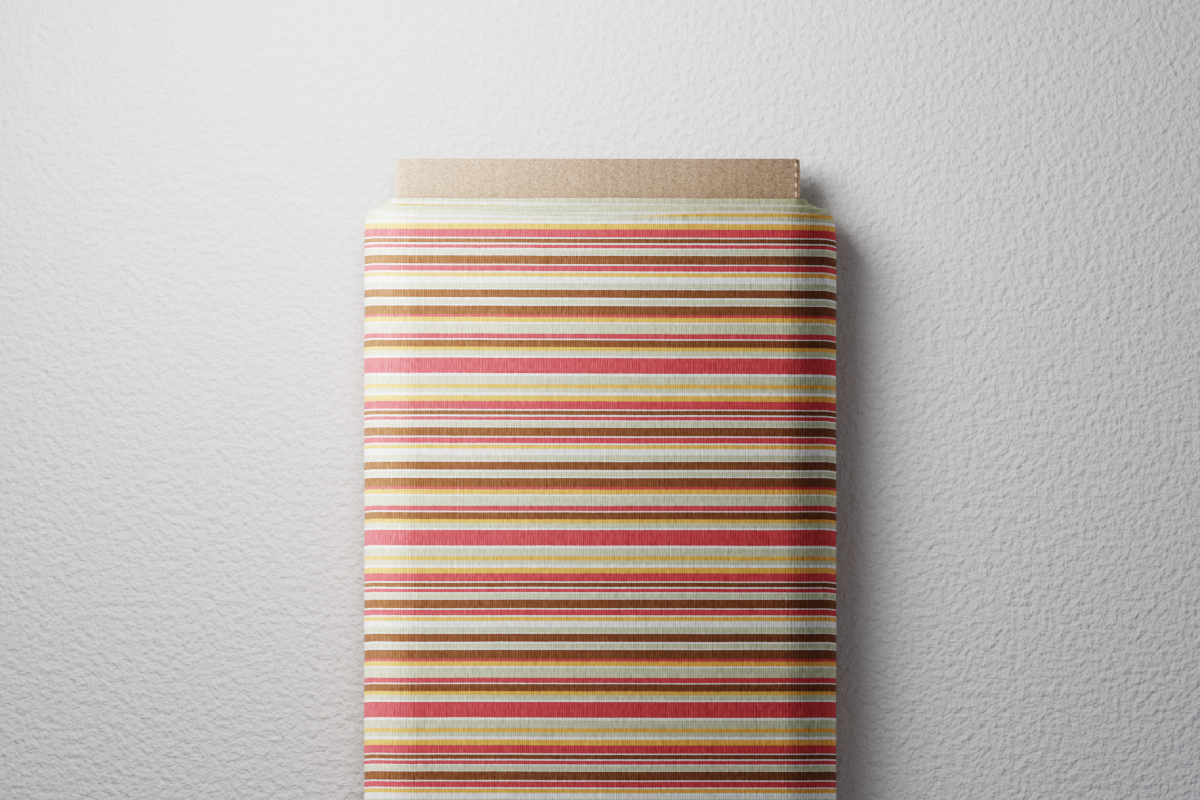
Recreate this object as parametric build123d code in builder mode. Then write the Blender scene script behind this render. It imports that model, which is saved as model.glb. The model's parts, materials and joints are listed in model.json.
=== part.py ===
"""Fabric bolt: a folded corrugated board core with striped cotton cloth wound round it.

The bolt lies on its back. X runs across the width, Y along the length (top end at +Y),
Z through the thickness (front up). The origin is the middle of the face it rests on.
Millimetres.

The board is one die-cut blank of three papers (outer liner, fluted medium, inner
liner) folded into a flat tube whose two free edges turn up as a double web. Each
end is shut by a closure panel hinged on the front panel, with a tuck lip.
"""

import math
import os
from itertools import accumulate

from build123d import *

os.makedirs("parts", exist_ok=True)

# ---- board (8 in x 24 in x 3/4 in, single-wall B-flute) ----
board_length = 609.6
board_left = -103.0
board_right = 100.6
crease_right = 98.9  # x of the creases between the right wall and the two panels
crease_height = 3.2  # z from each panel's outer face to where the right wall stands upright
board_back = 16.0
board_front = 35.0
panel_t = 3.0
corner_r = 3.4
seam_x = -1.2
seam_gap = 0.3
web_top_gap = 0.3
web_setback = 20.8
side_setback = 3.8
fold_gap = 0.14
overshoot = 1.0  # how far cutting shapes run past what they cut

half = board_length / 2
board_mid_z = (board_front + board_back) / 2
inside_height = board_front - board_back - 2 * panel_t

# ---- papers ----
liner_t = 0.45
medium_t = 0.25
medium_gap = 0.02
flute_pitch = 6.1
flute_steps = 10  # points per flute
flute_swing = panel_t / 2 - liner_t - medium_t / 2 - medium_gap
crush_length = 3.0  # the flutes flatten this far either side of a crease
crease_clear = 0.28  # no other wave point lies nearer to a crease
medium_inset = 0.3  # medium of a closure panel or lip, in from each side edge

# ---- web glue ----
glue_t = 0.24
glue_inset = 1.0

# ---- end closures ----
flap_left = -101.0
flap_right = 98.7
flap_drop = 14.4
lip_inset = 2.3
lip_reach = 12.0
lip_tilt = math.radians(20.0)

# ---- label and tapes: x size, y or z size, thickness ----
label_size = (130.0, 10.5, 0.12)
label_drop = 1.6  # below the front face
label_corner_r = 1.2
label_gap = 0.02
tape_size = (52.0, 25.0, 0.12)
tape_x = 12.0
tape_ys = (-205.0, 0.0, 205.0)
tape_gap = 0.03

# ---- cloth (wound doubled, 22.5 in wide) ----
cloth_width = 571.5
bore_gap = 0.3
bore_r = 3.0
outer_left = -118.35
outer_right = 118.40
outer_top = 54.70
crown = 1.0
right_r = 27.0
right_centre = (90.7, right_r)
left_arc_x = -91.0  # the left-hand bulge begins here
turn_t = 0.70
step_angle = 35.0  # where the outer turn steps up over the tail's root
tail_root_angle = 33.2
tail_hem_angle = -52.0
tail_gap = 0.06
# build-up fraction -> y of the top edge of the cloth there
shoulder = [
    (0.34, 285.5), (0.54, 284.0), (0.68, 282.5),
    (0.81, 280.5), (0.92, 278.5), (1.0, 276.0),
]
cloth_top = shoulder[-1][1]

# ---- straight pins, and the puckers of cloth they pass through ----
pin_angle = -38.0
pin_r = 0.32
pin_length = 30.0
point_length = 3.0
point_taper = 5.5
head_r = 1.6
head_gap = 0.01
pin_lift = 1.75
pin_ys = {"top": 205.0, "middle": 2.0, "bottom": -212.0}
pucker_length = 7.0
pucker_r = 1.15
pucker_foot = 1.9  # half width at the cloth
pucker_sink = 0.2
pin_hole_gap = 0.15


# ---------------------------------------------------------------- helpers
def save(part, name):
    part.label = name
    export_step(part, f"parts/{name}.step")


def section_at(y):
    """Cross-section plane at y; a positive extrusion from it runs towards -Y."""
    return Plane.XZ.offset(-y)


def on_circle(centre, radius, degrees):
    angle = math.radians(degrees)
    return (centre[0] + radius * math.cos(angle), centre[1] + radius * math.sin(angle))


def arc_points(centre, radius, start, end, count):
    return [
        on_circle(centre, radius, start + (end - start) * i / count) for i in range(count + 1)
    ]


def offset_path(points, distance):
    """The open polyline moved to its right-hand side by distance, with mitred corners."""
    normals = []
    for (ax, az), (bx, bz) in zip(points, points[1:]):
        length = math.hypot(bx - ax, bz - az)
        normals.append(((bz - az) / length, (ax - bx) / length))
    moved = []
    # an end point has the same normal on both sides
    for (x, z), (ax, az), (bx, bz) in zip(points, normals[:1] + normals, normals + normals[-1:]):
        scale = distance / (1 + ax * bx + az * bz)
        moved.append((x + scale * (ax + bx), z + scale * (az + bz)))
    return moved


def ribbon(points, near, far):
    """Closed outline of the sheet between two depths to the right of the polyline."""
    return offset_path(points, near) + offset_path(points, far)[::-1]


def tube_medium(path):
    """Outline of the medium waving along path, flattened at each crease."""
    lengths = [math.dist(a, b) for a, b in zip(path, path[1:])]
    total = sum(lengths)
    creases = list(accumulate(lengths[:-1]))
    steps = [
        round(k * flute_pitch / flute_steps, 4)
        for k in range(1, int(total / flute_pitch * flute_steps))
    ]
    clear_steps = {t for t in steps if all(abs(t - c) > crease_clear for c in creases)}
    line = []
    for t in sorted(clear_steps | {0.0, total} | set(creases)):
        start, i = 0.0, 0
        while i < len(lengths) - 1 and start + lengths[i] < t - 1e-9:
            start += lengths[i]
            i += 1
        along = min(max((t - start) / lengths[i], 0), 1)
        (ax, az), (bx, bz) = path[i], path[i + 1]
        dx, dz = (bx - ax) / lengths[i], (bz - az) / lengths[i]
        rise = min(1.0, min(abs(t - c) for c in creases) / crush_length)
        swing = flute_swing * rise * rise * (3 - 2 * rise)
        height = swing * math.sin(2 * math.pi * t / flute_pitch)
        line.append((ax + (bx - ax) * along + height * dz, az + (bz - az) * along - height * dx))
    return ribbon(line, -medium_t / 2, medium_t / 2)


def flat_medium(left, right):
    """Outline of the medium in a flat panel: x, depth below the outer face."""
    start = left + medium_inset
    width = right - medium_inset - start
    count = int(width / flute_pitch * flute_steps)
    line = []
    for i in range(count + 1):
        across = width * i / count
        wave = flute_swing * math.sin(2 * math.pi * across / flute_pitch)
        line.append((start + across, panel_t / 2 + wave))
    return ribbon(line, -medium_t / 2, medium_t / 2)


# ---------------------------------------------------------------- the board tube
def build_core_layer(name, outline):
    with BuildPart() as core:
        with BuildSketch(section_at(half)):
            with BuildLine():
                Polyline(*outline, close=True)
            make_face()
        extrude(amount=board_length)
        for end in (1, -1):
            # the front panel is mitred where the closure panel folds down
            mitre_outer = half - fold_gap
            mitre_inner = half - panel_t - fold_gap
            mitre_floor = board_back + panel_t + 0.01
            with BuildSketch(Plane.YZ.offset(board_left - 5)):
                with BuildLine():
                    Polyline(
                        (end * mitre_outer, board_front),
                        (end * (mitre_outer + overshoot), board_front + overshoot),
                        (end * (half + overshoot), board_front + overshoot),
                        (end * (half + overshoot), mitre_floor),
                        (end * mitre_inner, mitre_floor),
                        (end * mitre_inner, board_front - panel_t),
                        close=True,
                    )
                make_face()
            extrude(amount=board_right - board_left + 10, mode=Mode.SUBTRACT)
            # side walls stop short of the end, under the front panel
            with BuildSketch(section_at(end * (half - side_setback))):
                with Locations(
                    (board_left + panel_t / 2, board_mid_z),
                    (board_right - panel_t / 2, board_mid_z),
                ):
                    Rectangle(2 * panel_t, inside_height)
            extrude(amount=-end * (side_setback + overshoot), mode=Mode.SUBTRACT)
            # slanted corner of the right-hand wall
            slant_low = half - side_setback - 0.4
            with BuildSketch(Plane.XY.offset(board_back + panel_t)):
                with BuildLine():
                    Polyline(
                        (crease_right - 0.1, end * (half + overshoot)),
                        (crease_right - 0.1, end * (half - 0.2)),
                        (board_right + 0.2, end * slant_low),
                        (board_right + 4, end * slant_low),
                        (board_right + 4, end * (half + overshoot)),
                        close=True,
                    )
                make_face()
            extrude(amount=panel_t * 10, mode=Mode.SUBTRACT)
            # the double web stops well inside, clear of the tuck lip
            with BuildSketch(section_at(end * (half - web_setback))):
                with Locations((seam_x, board_mid_z)):
                    Rectangle(2 * panel_t + 1.2, inside_height)
            extrude(amount=-end * (web_setback + overshoot), mode=Mode.SUBTRACT)
    save(core.part, name)


# outer face of the blank, from the free edge of one web round to the other
web_top = board_front - panel_t - web_top_gap
corner_x = board_left + corner_r
blank = [
    (seam_x - seam_gap / 2, web_top),
    (seam_x - seam_gap / 2, board_back),
    *arc_points((corner_x, board_back + corner_r), corner_r, 270, 180, 6),
    *arc_points((corner_x, board_front - corner_r), corner_r, 180, 90, 6),
    (crease_right, board_front),
    (board_right, board_front - crease_height),
    (board_right, board_back + crease_height),
    (crease_right, board_back),
    (seam_x + seam_gap / 2, board_back),
    (seam_x + seam_gap / 2, web_top),
]
build_core_layer("core_outer_liner", ribbon(blank, 0.0, liner_t))
build_core_layer("core_fluted_medium", tube_medium(offset_path(blank, panel_t / 2)))
build_core_layer("core_inner_liner", ribbon(blank, panel_t - liner_t, panel_t))

# glue between the two webs
with BuildPart() as web_glue:
    with Locations((seam_x, 0, (board_back + board_front - panel_t) / 2)):
        Box(
            glue_t,
            2 * (half - web_setback - glue_inset),
            board_front - panel_t - board_back - 2 * glue_inset,
        )
save(web_glue.part, "web_glue")


# ---------------------------------------------------------------- end closures
def lip_point(end, along, depth):
    """(y, z) on the lip: along from the outer fold corner, depth in from its outer face."""
    out = -math.cos(lip_tilt) * along + math.sin(lip_tilt) * depth
    up = math.sin(lip_tilt) * along + math.cos(lip_tilt) * depth
    return (end * (half + out), board_front - flap_drop + up)


def fold_along(depth):
    """Distance along the lip at which it meets the flap, at this depth in both."""
    return depth * (1 + math.sin(lip_tilt)) / math.cos(lip_tilt)


def build_closure_layer(name, side_view, left, right, flutes=None):
    """One paper of a flap or lip; flutes is (plane, outline, length) for the medium."""
    margin = 0
    with BuildPart() as paper:
        if flutes:
            # the wave is extruded first, then trimmed to the side view
            plane, outline, length = flutes
            margin = 1
            with BuildSketch(plane):
                with BuildLine():
                    Polyline(*outline, close=True)
                make_face()
            extrude(amount=length)
        with BuildSketch(Plane.YZ.offset(left - margin)):
            with BuildLine():
                Polyline(*side_view, close=True)
            make_face()
        extrude(
            amount=right - left + 2 * margin,
            mode=Mode.INTERSECT if flutes else Mode.ADD,
        )
    save(paper.part, name)


def build_flap(end_name, end, layer, near, far):
    """Closure panel, hanging from the end of the front panel."""
    side_view = [
        (end * (half - near), board_front - near),
        (end * (half - near), lip_point(end, fold_along(near), near)[1]),
        (end * (half - far), lip_point(end, fold_along(far), far)[1]),
        (end * (half - far), board_front - far),
    ]
    flutes = None
    if layer == "medium":
        flutes = (
            Plane.XY.offset(board_front - flap_drop - 2),
            [(x, end * (half - depth)) for x, depth in flat_medium(flap_left, flap_right)],
            flap_drop + 3,
        )
    build_closure_layer(f"{end_name}_flap_{layer}", side_view, flap_left, flap_right, flutes)


def build_lip(end_name, end, layer, near, far):
    """Tuck lip, folded inward from the bottom of the closure panel."""
    side_view = [
        lip_point(end, fold_along(near) + fold_gap, near),
        lip_point(end, lip_reach, near),
        lip_point(end, lip_reach, far),
        lip_point(end, fold_along(far) + fold_gap, far),
    ]
    left, right = flap_left + lip_inset, flap_right - lip_inset
    flutes = None
    if layer == "medium":
        # this plane's own y points up into the lip at the top end, down at the bottom end
        fold = Plane(
            origin=(0, end * half, board_front - flap_drop),
            x_dir=(1, 0, 0),
            z_dir=(0, -end * math.cos(lip_tilt), math.sin(lip_tilt)),
        )
        outline = [(x, end * depth) for x, depth in flat_medium(left, right)]
        flutes = (fold, outline, lip_reach + 2)
    build_closure_layer(f"{end_name}_lip_{layer}", side_view, left, right, flutes)


# each paper's depth range below the outer face
layers = {
    "outer_liner": (0.0, liner_t),
    "medium": (liner_t + medium_gap, panel_t - liner_t - medium_gap),
    "inner_liner": (panel_t - liner_t, panel_t),
}
for end_name, end in (("top", 1), ("bottom", -1)):
    for layer, (near, far) in layers.items():
        build_flap(end_name, end, layer, near, far)
        build_lip(end_name, end, layer, near, far)

# blank paper label glued on the bottom closure panel
with BuildPart() as end_label:
    with BuildSketch(section_at(-half - label_gap)):
        with Locations((0, board_front - label_drop - label_size[1] / 2)):
            RectangleRounded(label_size[0], label_size[1], label_corner_r)
    extrude(amount=label_size[2])
save(end_label.part, "end_label")

# paper tapes that hold the start of the cloth to the board
with BuildPart() as start_tapes:
    for y in tape_ys:
        with Locations((tape_x, y, board_front + tape_gap + tape_size[2] / 2)):
            Box(*tape_size)
save(start_tapes.part, "start_tapes")


# ---------------------------------------------------------------- the wound cloth
def turn_section(fraction):
    """Centre, width, height and corner radius of the cloth; fraction 0 is the bore."""
    bore_left, bore_right = board_left - bore_gap, board_right + bore_gap
    bore_back, bore_front = board_back - bore_gap, board_front + bore_gap
    left = bore_left + (outer_left - bore_left) * fraction
    right = bore_right + (outer_right - bore_right) * fraction
    low = bore_back * (1 - fraction)
    high = bore_front + (outer_top - bore_front) * fraction
    radius = bore_r + (right_r - bore_r) * fraction
    return ((left + right) / 2, (low + high) / 2), right - left, high - low, radius


with BuildPart() as winding:
    with BuildSketch(section_at(cloth_top)):
        with BuildLine():
            Line((left_arc_x, 0), (right_centre[0], 0))
            under = CenterArc(right_centre, right_r, -90, 90 + step_angle)
            Line(under @ 1, on_circle(right_centre, right_r + turn_t, step_angle))
            over = CenterArc(right_centre, right_r + turn_t, step_angle, 90 - step_angle)
            ThreePointArc(over @ 1, (0, outer_top + crown), (left_arc_x, outer_top))
            ThreePointArc((left_arc_x, outer_top), (outer_left, outer_top / 2), (left_arc_x, 0))
        make_face()
    extrude(amount=cloth_width)
    for (fraction, edge), (_, next_edge) in zip(shoulder[:-1], shoulder[1:]):
        centre, width, height, radius = turn_section(fraction)
        # inner turns stand further out at the top end ...
        with BuildSketch(section_at(edge)):
            with Locations(centre):
                RectangleRounded(width, height, radius)
        extrude(amount=edge - next_edge)
        # ... and, the cloth being one width, further in at the bottom end
        with BuildSketch(section_at(edge - cloth_width)):
            with Locations(centre):
                RectangleRounded(width, height, radius)
        extrude(amount=edge - next_edge, mode=Mode.SUBTRACT)
    # bore for the board
    centre, width, height, radius = turn_section(0)
    with BuildSketch(section_at(half)):
        with Locations(centre):
            RectangleRounded(width, height, radius)
    extrude(amount=board_length, mode=Mode.SUBTRACT)
save(winding.part, "fabric_winding")

# the pins' axis, and the pucker's sides as (sideways, outward) from it
pin_axis = on_circle(right_centre, right_r + turn_t + pin_lift, pin_angle)
out_x, out_z = on_circle((0, 0), 1, pin_angle)
foot_depth = -pin_lift - pucker_sink
pucker_outline = [
    (pin_axis[0] - out_z * side + out_x * out, pin_axis[1] + out_x * side + out_z * out)
    for side, out in (
        (-pucker_r, 0.0),
        (pucker_r, 0.0),
        (pucker_foot, foot_depth),
        (-pucker_foot, foot_depth),
    )
]

with BuildPart() as tail:
    tail_sweep = tail_root_angle - tail_hem_angle
    with BuildSketch(section_at(cloth_top)):
        with BuildLine():
            inner = CenterArc(right_centre, right_r + tail_gap, tail_hem_angle, tail_sweep)
            outer = CenterArc(right_centre, right_r + turn_t, tail_hem_angle, tail_sweep)
            Line(inner @ 0, outer @ 0)
            Line(inner @ 1, outer @ 1)
        make_face()
    extrude(amount=cloth_width)
    for y in pin_ys.values():
        # the pinch of cloth the pin passes through
        with BuildSketch(section_at(y + pucker_length / 2)):
            with BuildLine():
                Polyline(*pucker_outline, close=True)
            make_face()
            with Locations(pin_axis):
                Circle(pucker_r)
        extrude(amount=pucker_length)
        with BuildSketch(section_at(y + pucker_length / 2 + overshoot)):
            with Locations(pin_axis):
                Circle(pin_r + pin_hole_gap)
        extrude(amount=pucker_length + 2 * overshoot, mode=Mode.SUBTRACT)
save(tail.part, "fabric_tail")


# ---------------------------------------------------------------- straight pins
def build_pin(name, y):
    """Pin lying along Y, its head towards the top end and its point towards the bottom."""
    head_y = y + pin_length / 3
    shaft_y = head_y - head_r - head_gap
    straight = pin_length - point_length
    with BuildPart() as shaft:
        with BuildSketch(section_at(shaft_y)):
            with Locations(pin_axis):
                Circle(pin_r)
        extrude(amount=straight)
        with BuildSketch(section_at(shaft_y - straight)):
            with Locations(pin_axis):
                Circle(pin_r)
        extrude(amount=point_length, taper=point_taper)
    save(shaft.part, f"pin_{name}_shaft")

    with BuildPart() as head:
        with Locations((pin_axis[0], head_y, pin_axis[1])):
            Sphere(head_r)
    save(head.part, f"pin_{name}_head")


for name, y in pin_ys.items():
    build_pin(name, y)
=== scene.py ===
"""Looks for a fabric bolt: doubled striped cotton wound on a folded kraft board.

The bolt lies on its back: its length runs along y with the top end at +y, its width along x,
and its front face looks up along +z. The cloth's loose end hangs over the right side (+x),
held by three pins. The board stands out beyond the cloth at both ends. Lengths in the mesh
helpers are in millimetres of the shared frame. Stage, lights and camera are in metres.
"""

import json
import math

import bmesh
import bpy
import numpy as np
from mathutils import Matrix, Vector

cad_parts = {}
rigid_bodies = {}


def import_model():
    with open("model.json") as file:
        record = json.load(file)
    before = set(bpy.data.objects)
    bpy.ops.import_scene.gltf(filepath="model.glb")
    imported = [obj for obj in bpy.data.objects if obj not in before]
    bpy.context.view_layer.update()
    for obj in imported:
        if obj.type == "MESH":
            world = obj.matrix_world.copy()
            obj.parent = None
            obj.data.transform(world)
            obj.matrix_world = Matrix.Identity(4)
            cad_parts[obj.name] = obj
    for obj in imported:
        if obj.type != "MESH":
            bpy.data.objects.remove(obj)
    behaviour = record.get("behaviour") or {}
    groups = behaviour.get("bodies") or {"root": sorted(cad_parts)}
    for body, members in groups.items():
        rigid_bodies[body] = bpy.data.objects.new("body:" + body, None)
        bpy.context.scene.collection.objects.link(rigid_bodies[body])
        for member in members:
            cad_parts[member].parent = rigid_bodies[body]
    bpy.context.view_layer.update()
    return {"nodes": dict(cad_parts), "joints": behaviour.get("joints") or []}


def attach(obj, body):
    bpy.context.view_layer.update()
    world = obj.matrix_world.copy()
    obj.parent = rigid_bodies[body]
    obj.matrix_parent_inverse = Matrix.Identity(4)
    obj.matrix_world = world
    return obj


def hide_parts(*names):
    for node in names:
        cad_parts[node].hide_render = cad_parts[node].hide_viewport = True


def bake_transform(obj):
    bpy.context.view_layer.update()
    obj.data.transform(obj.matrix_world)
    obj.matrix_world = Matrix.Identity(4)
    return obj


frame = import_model()

MM = 0.001
HALF = 304.8  # half the board's length
FRONT_Z = 35.0  # the board's front face
TURNS = 24
LAST = TURNS - 1  # index of the outermost turn
WIDTH = 571.5  # from the cloth's folded edge to its selvedges
SHEET = 0.60  # thickness of the doubled cloth
PLY = 0.27  # one of its two layers
REST = 0.02  # gap left where cloth lies flat on what is beneath it
ROOT_DEG, HEM_DEG = 33.2, -52.0  # where the loose end leaves the roll, and where it stops
ROOT = 6 + (90 - ROOT_DEG) / 90  # station of the loose end's root

# ------------------------------------------------------------------ small maths


def smooth(t):
    t = np.clip(t, 0.0, 1.0)
    return t * t * (3 - 2 * t)


def fade(distance, reach):
    """1 up to distance 0, then falling off exponentially."""
    return np.exp(-np.clip(distance, 0, None) / reach)


def waves(seed, x, y, x_size, y_size):
    """Smooth deterministic unevenness, about -1..1, with feature sizes x_size and y_size."""
    rng = np.random.RandomState(seed)
    terms = 7
    total = 0.0
    for _ in range(terms):
        a, b = rng.normal(0, 1.0, 2)
        angle = 2 * math.pi * (a * x / x_size + b * y / y_size) + rng.uniform(0, 6.283)
        total = total + np.sin(angle) * rng.uniform(0.5, 1.0)
    return total / (0.55 * terms)


def relief(layers, x, y):
    """Sum of wave layers, each (height, seed, feature size in x, feature size in y)."""
    return sum(height * waves(seed, x, y, *sizes) for height, seed, *sizes in layers)


# ------------------------------------------------------------------ the winding's section
# Seen with x to the right and z up, one turn runs clockwise from the loose end's hem in nine
# stretches, and a station is a stretch's number plus the share of it covered:
# 0 lower right arc, 1 underside, 2 lower left arc, 3 left side, 4 upper left arc,
# 5 front face, 6 upper right arc, 7 right side, 8 lower right arc down to the hem.
# Growth is 0 at the innermost turn's start and 1 at the outermost turn's end.

# left x, right x, low z, high z, corner radius
INNER_BOX = (-103.3, 100.9, 15.7, 35.3, 3.0)
OUTER_BOX = (-118.5, 118.4, -0.55, 54.75, 27.55)
CROWN = 2.3  # rise of the outermost front face in its middle


def section(growth, station):
    """x and z of the cloth's outer face."""
    growth, station = np.broadcast_arrays(
        np.asarray(growth, float), np.asarray(station, float)
    )
    left, right, low, high, radius = (
        a + (b - a) * growth for a, b in zip(INNER_BOX, OUTER_BOX)
    )
    x0, x1, z0, z1 = left + radius, right - radius, low + radius, high - radius
    stretch = np.clip(np.floor(station), 0, 8).astype(int)
    t = station - stretch
    crown = high + CROWN * growth**1.3 * (1 - (2 * t - 1) ** 2) ** 1.15
    x, z = np.zeros_like(t), np.zeros_like(t)
    # stretch, centre x, centre z, first angle, last angle
    for index, centre_x, centre_z, first, last in (
        (0, x1, z0, HEM_DEG, -90),
        (2, x0, z0, -90, -180),
        (4, x0, z1, 180, 90),
        (6, x1, z1, 90, 0),
        (8, x1, z0, 0, HEM_DEG),
    ):
        here = stretch == index
        angle = np.radians(first + (last - first) * t[here])
        x[here] = centre_x[here] + radius[here] * np.cos(angle)
        z[here] = centre_z[here] + radius[here] * np.sin(angle)
    # stretch, x from and to, z from and to
    for index, *ends in (
        (1, x1, x0, low, low),
        (3, left, left, z0, z1),
        (5, x0, x1, crown, crown),
        (7, right, right, z1, z0),
    ):
        here = stretch == index
        x_from, x_to, z_from, z_to = (end[here] for end in ends)
        x[here] = x_from + (x_to - x_from) * t[here]
        z[here] = z_from + (z_to - z_from) * t[here]
    return x, z


_stations = np.linspace(0, 9, 3601)
_x, _z = section(0.75, _stations)
_length = np.concatenate([[0], np.cumsum(np.hypot(np.diff(_x), np.diff(_z)))])
TURN_LENGTH = _length[-1]  # every turn counts as long as the one at growth 0.75


def turn_share(station):
    return np.interp(station, _stations, _length / TURN_LENGTH)


def growth_at(turn, station):
    return (turn + turn_share(station)) / TURNS


def outward(turn, station):
    """Unit normal in the xz plane."""
    step = 0.004
    growth = growth_at(turn, station)
    x0, z0 = section(growth, np.clip(station - step, 0, 8.9999))
    x1, z1 = section(growth, np.clip(station + step, 0, 8.9999))
    dx, dz = x1 - x0, z1 - z0
    length = np.maximum(np.hypot(dx, dz), 1e-9)
    return -dz / length, dx / length


# ------------------------------------------------------------------ edges of the turns
# Edge tables: x, and how far the folded edge lies below the board's top end.
EDGE_4 = [
    (-103.350, 19.717), (-70.238, 19.917), (-40.136, 20.018), (-20.068, 19.767),
    (0, 19.767), (50.170, 20.018), (100.842, 20.269),
]
EDGE_11 = [
    (-118.401, 23.429), (-103.350, 23.580), (-70.238, 23.831), (-50.170, 23.680),
    (-40.136, 23.329), (0, 23.329), (25.085, 23.429), (50.170, 23.530), (75.255, 23.630),
    (100.340, 23.831), (118.401, 24.082),
]
EDGE_17 = [
    (-118.401, 25.637), (-103.350, 25.587), (-65.221, 25.436), (-40.136, 25.085),
    (0, 24.533), (40.136, 24.232), (90.306, 24.132), (118.401, 24.433),
]
EDGE_21 = [
    (-118.401, 25.838), (-100.340, 25.938), (-70.238, 26.239), (-40.136, 26.841),
    (-22.577, 27.242), (-12.543, 27.744), (0, 27.945), (20.068, 28.196), (50.170, 28.145),
    (118.401, 28.246),
]
EDGE_23 = [
    (-118.401, 29.349), (-100.340, 29.349), (-70.238, 29.400), (-40.136, 29.751),
    (-20.068, 29.901), (0, 30.052), (12.543, 29.550), (22.577, 28.798), (34.116, 28.196),
    (45.153, 27.794), (60.204, 27.594), (95.323, 27.644), (107.866, 28.246), (118.401, 28.848),
]
# Shift tables: x, and how far the stripes sit from those of the outermost turn along y.
SHIFT_4 = [
    (-103.350, -9.833), (-70.238, -9.432), (-40.136, -9.281), (-20.068, -9.031), (0, -8.830),
    (25.085, -8.730), (50.170, -8.479), (75.255, -8.679), (100.842, -8.529),
]
SHIFT_11 = [(-103.350, -5.168), (0, -5.519), (90.306, -5.519)]
SHIFT_17 = [
    (-103.350, -4.014), (-40.136, -4.315), (0, -4.365), (25.085, -4.565), (50.170, -4.816),
    (75.255, -5.268), (95.323, -4.917),
]
SHIFT_21 = [
    (-103.350, -3.261), (-70.238, -3.010), (-40.136, -2.308), (-20.068, -2.157), (0, -2.007),
    (20.068, -1.806), (118.401, -1.505),
]
SHIFT_23 = [(0, 0)]
# Measured turn, its edge, its shift, then how the unmeasured turns just inside it differ:
# how much lower their edges lie, and their share of the raggedness.
TURN_GROUPS = [
    (4, EDGE_4, SHIFT_4, 0.40136, 0.6),
    (11, EDGE_11, SHIFT_11, 0.0, 1.0),
    (17, EDGE_17, SHIFT_17, 0.0, 1.0),
    (21, EDGE_21, SHIFT_21, 0.20068, 1.0),
    (23, EDGE_23, SHIFT_23, 0.65221, 0.0),
]
# Growth, and the edge's distance below the board's top end, on the two rounded sides.
LEFT_EDGE = [
    (0, 19.817), (0.2, 20.068), (0.39, 22.727), (0.56, 24.433), (0.75, 25.286), (0.91, 26.038),
    (0.955, 27.343), (1, 29.249),
]
RIGHT_EDGE = [
    (0, 20.219), (0.18, 20.419), (0.28, 22.476), (0.45, 23.831), (0.74, 25.336),
    (0.93, 26.289), (0.965, 27.092), (1, 28.848),
]
FOLD_PHASE = 29.24911  # stripe phase at the edge of every unmeasured turn

_rng = np.random.RandomState(11)
TOP_RAGGED = _rng.uniform(0.25085, 1.40476, TURNS)
BOTTOM_RAGGED = _rng.normal(0, 0.45, TURNS)


def table_at(rows, value):
    return np.interp(value, *zip(*rows))


def turn_edge(turn, x):
    """Distance of a turn's folded edge below the board's top end, and its stripe shift."""
    for measured, edge, shift, lower, ragged in TURN_GROUPS:
        if turn <= measured:
            break
    inset = table_at(edge, x)
    if turn == measured:
        return inset, table_at(shift, x)
    inset = inset + lower + ragged * TOP_RAGGED[turn]
    return inset, inset - FOLD_PHASE


def side_share(station):
    """0 on the flat faces, rising to 1 at the widest part of the left and right sides."""
    left = smooth(np.interp(station, [1.9, 3.0, 4.0, 5.04], [0, 1, 1, 0]))
    right = smooth(
        np.interp(station, [0.0, 0.9, 5.96, 7.0, 8.0, 9.0], [0.45, 0, 0, 1, 1, 0.45])
    )
    return left, right


# left and right side: inset of the top edge, reach of the tightening, share taken off growth
SIDE_SQUEEZE = ((29.6003, 2.2, 0.065), (29.0986, 4.3, 0.115))


def squeeze(y, station):
    """The cloth tightens towards both ends of the roll on its rounded sides."""
    factor = 1.0
    for side, (inset, reach, amount) in zip(side_share(station), SIDE_SQUEEZE):
        top = HALF - inset
        near = fade(top - y, reach) + fade(y - (top - WIDTH), reach)
        factor = factor - amount * side * np.clip(near, 0, 1)
    return factor


class Columns:
    """What the cloth's columns of points share, one entry per turn and station."""

    def __init__(self, turn, station):
        self.turn, self.station = turn, station
        self.growth = growth_at(turn, station)
        self.x, self.z = section(self.growth, station)
        self.nx, self.nz = outward(turn, station)
        self.arc = (turn + turn_share(station)) * TURN_LENGTH
        self.place_edges()

    def place_edges(self):
        inset, self.shift = np.zeros(len(self.x)), np.zeros(len(self.x))
        for turn in np.unique(self.turn).astype(int):
            here = self.turn == turn
            x = self.x[here]
            part = smooth(self.station[here] / 2.0)  # each turn blends out of the one inside
            edge_0, shift_0 = turn_edge(max(turn - 1, 0), x)
            edge_1, shift_1 = turn_edge(turn, x)
            inset[here] = edge_0 * (1 - part) + edge_1 * part
            self.shift[here] = shift_0 * (1 - part) + shift_1 * part
        left, right = side_share(self.station)
        drop = left * (table_at(LEFT_EDGE, self.growth) - inset)
        drop = drop + right * (table_at(RIGHT_EDGE, self.growth) - inset)
        inset = inset + drop
        inset = inset + 0.080272 * waves(5, self.arc, self.turn * 31.0, 26, 50)
        inset = inset + 0.05017 * waves(6, self.arc, self.turn * 17.0, 7, 50)
        self.top_y = HALF - inset
        # the cloth is one width, so the selvedges follow the folded edge
        ragged = np.interp(
            np.clip(self.growth * TURNS, 0, LAST), np.arange(TURNS), BOTTOM_RAGGED
        )
        self.low_y = self.top_y + 1.35 * drop - WIDTH + ragged
        self.low_y = self.low_y + 0.12 * waves(8, self.arc, 0, 23, 50)


# ------------------------------------------------------------------ course of the stripes
FIRST_STRIPE = 35.57053  # phase at which the repeat begins
REPEAT = 86.217145  # one stripe repeat
PLAIN_PHASE = FOLD_PHASE + 0.175595  # phase held where only the plain border shows
TILT = 0.0042517  # drop of the stripes per mm of x near the top
STRIPE_WOBBLE = ((0.110374, 21, 160, 210), (0.060204, 22, 45, 90))


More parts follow.
